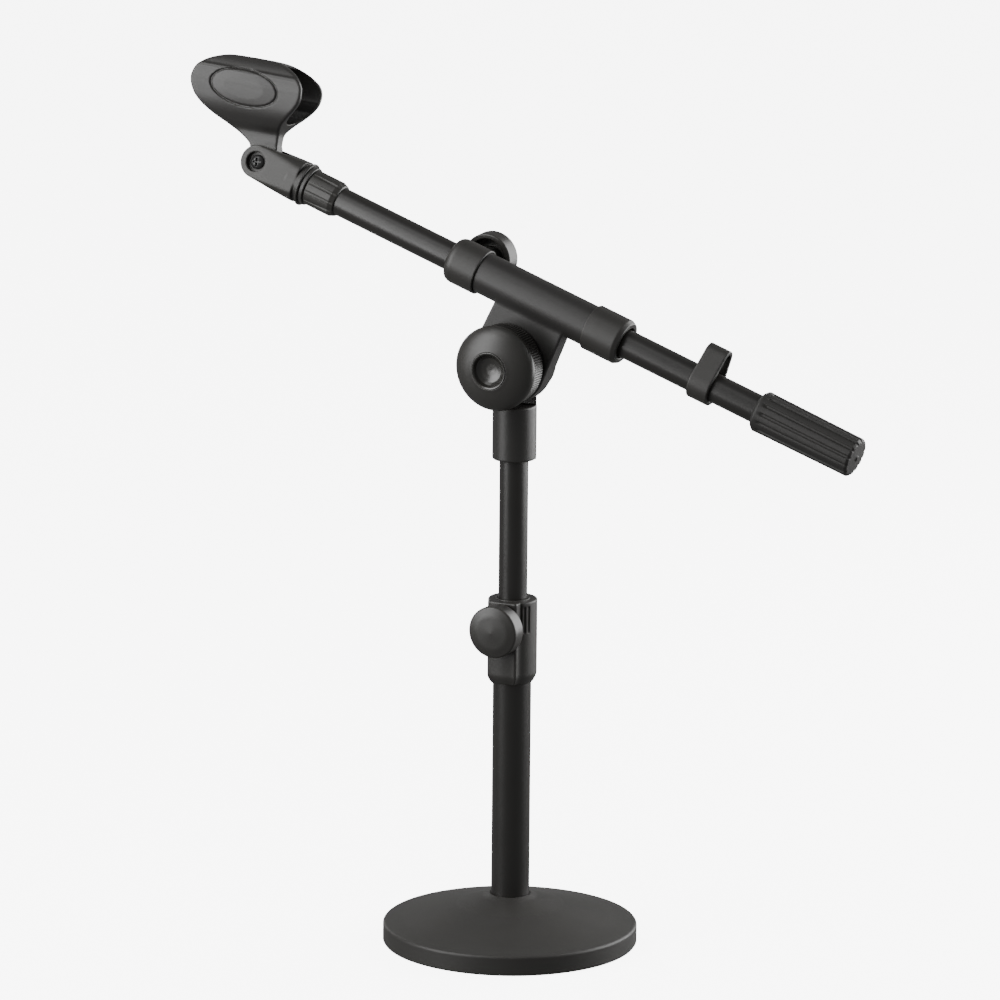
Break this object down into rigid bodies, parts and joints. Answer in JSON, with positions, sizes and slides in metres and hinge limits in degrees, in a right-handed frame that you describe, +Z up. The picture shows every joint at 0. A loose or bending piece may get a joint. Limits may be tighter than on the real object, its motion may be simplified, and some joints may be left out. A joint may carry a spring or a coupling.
{
  "type": "desktop boom microphone stand",
  "caption": "Desktop microphone stand with a round weighted base, telescopic column, tilting boom in a knob-locked holder, hand grip and open spring clip.",
  "frame": {"origin": "centre of the rubber sheet's underside, on the column's axis", "axes": "+Z up the column; the boom lies in the XZ plane with its hand grip on +X and the microphone clip on -X; the tilt knob faces -Y"},
  "size_m": [0.4081, 0.141, 0.4839],
  "materials": {
    "cast_base": "fine textured black powder coat",
    "rubber_sheet": "plain matte rubber",
    "plated_steel": "bright zinc plate",
    "tube_black": "satin black powder coat",
    "clamp_plastic": "moulded black, fine grain",
    "bush_plastic": "smooth dark bush",
    "knob_plastic": "moulded black, soft sheen",
    "brass": "turned brass",
    "guide_plastic": "natural acetal",
    "bracket_cast": "die casting, satin black paint",
    "grip_rubber": "moulded rubber, satin",
    "cap_gloss": "polished black cap",
    "black_steel": "blackened screw",
    "clip_plastic": "flexible moulded black, soft gloss"
  },
  "bodies": {
    "base": {"base_plate": "cast_base", "base_pad": "rubber_sheet", "base_bolt": "plated_steel", "base_washer": "plated_steel", "tube_foot_plug": "plated_steel", "outer_tube": "tube_black", "height_clamp": "clamp_plastic", "clamp_bush": "bush_plastic", "height_insert": "brass"},
    "height_knob": {"height_screw": "plated_steel", "height_knob": "knob_plastic", "height_pad": "brass"},
    "guide": {"guide_bush": "guide_plastic"},
    "column": {"inner_tube": "tube_black", "pivot_socket": "bracket_cast", "socket_pin": "plated_steel", "friction_washer": "rubber_sheet", "tilt_bolt": "plated_steel"},
    "tilt_knob": {"tilt_knob": "knob_plastic", "tilt_knob_cap": "cap_gloss", "tilt_knob_insert": "brass", "thrust_washer": "plated_steel"},
    "holder": {"boom_bracket": "bracket_cast", "front_collar": "clamp_plastic", "rear_collar": "clamp_plastic", "lock_insert": "brass"},
    "lock_knob": {"lock_screw": "plated_steel", "lock_knob": "knob_plastic", "lock_pad": "brass"},
    "liner": {"boom_liner": "guide_plastic"},
    "boom": {"boom_tube": "tube_black", "boom_grip": "grip_rubber", "boom_end_plug": "plated_steel", "boom_stud": "plated_steel"},
    "cable_clip": {"cable_clip": "clamp_plastic"},
    "nut": {"lock_nut": "clamp_plastic", "nut_washer": "bush_plastic"},
    "clip_base": {"clip_base": "clamp_plastic", "clip_thread_insert": "brass", "clip_pivot_screw": "black_steel", "clip_pivot_nut": "plated_steel", "clip_pivot_washers": "guide_plastic"},
    "mic_clip": {"mic_clip": "clip_plastic"}
  },
  "joints": [
    {"name": "height_slide", "type": "slide", "parent": "base", "child": "guide", "axis": [0, 0, 1], "range_m": [-0.075, 0.035]},
    {"name": "column_swivel", "type": "hinge", "parent": "guide", "child": "column", "pos_m": [0, 0, 0.2], "axis": [0, 0, 1], "continuous": true},
    {"name": "height_knob_turn", "type": "hinge", "parent": "base", "child": "height_knob", "pos_m": [0, -0.02, 0.182], "axis": [0, -1, 0], "range_deg": [0, 360]},
    {"name": "boom_tilt", "type": "hinge", "parent": "column", "child": "holder", "pos_m": [0, 0, 0.33], "axis": [0, 1, 0], "range_deg": [-80, 65]},
    {"name": "tilt_knob_turn", "type": "hinge", "parent": "column", "child": "tilt_knob", "pos_m": [0, -0.02, 0.33], "axis": [0, -1, 0], "range_deg": [0, 360]},
    {"name": "boom_roll", "type": "hinge", "parent": "holder", "child": "liner", "pos_m": [0.01246, 0, 0.36558], "axis": [0.9438, 0, -0.3305], "continuous": true},
    {"name": "boom_slide", "type": "slide", "parent": "liner", "child": "boom", "axis": [0.9438, 0, -0.3305], "range_m": [-0.022, 0.07]},
    {"name": "lock_knob_turn", "type": "hinge", "parent": "holder", "child": "lock_knob", "pos_m": [-0.02812, 0.02, 0.37979], "axis": [0, 1, 0], "range_deg": [0, 360]},
    {"name": "cable_clip_slide", "type": "slide", "parent": "boom", "child": "cable_clip", "axis": [0.9438, 0, -0.3305], "range_m": [-0.018, 0.026]},
    {"name": "lock_nut_turn", "type": "hinge", "parent": "boom", "child": "nut", "pos_m": [-0.11684, 0, 0.41086], "axis": [0.9438, 0, -0.3305], "continuous": true},
    {"name": "clip_base_turn", "type": "hinge", "parent": "boom", "child": "clip_base", "pos_m": [-0.13855, 0, 0.41846], "axis": [0.9438, 0, -0.3305], "range_deg": [-180, 180]},
    {"name": "mic_clip_tilt", "type": "hinge", "parent": "clip_base", "child": "mic_clip", "pos_m": [-0.15676, 0, 0.42484], "axis": [-0.08, 0.9703, -0.2283], "range_deg": [-80, 35]}
  ]
}
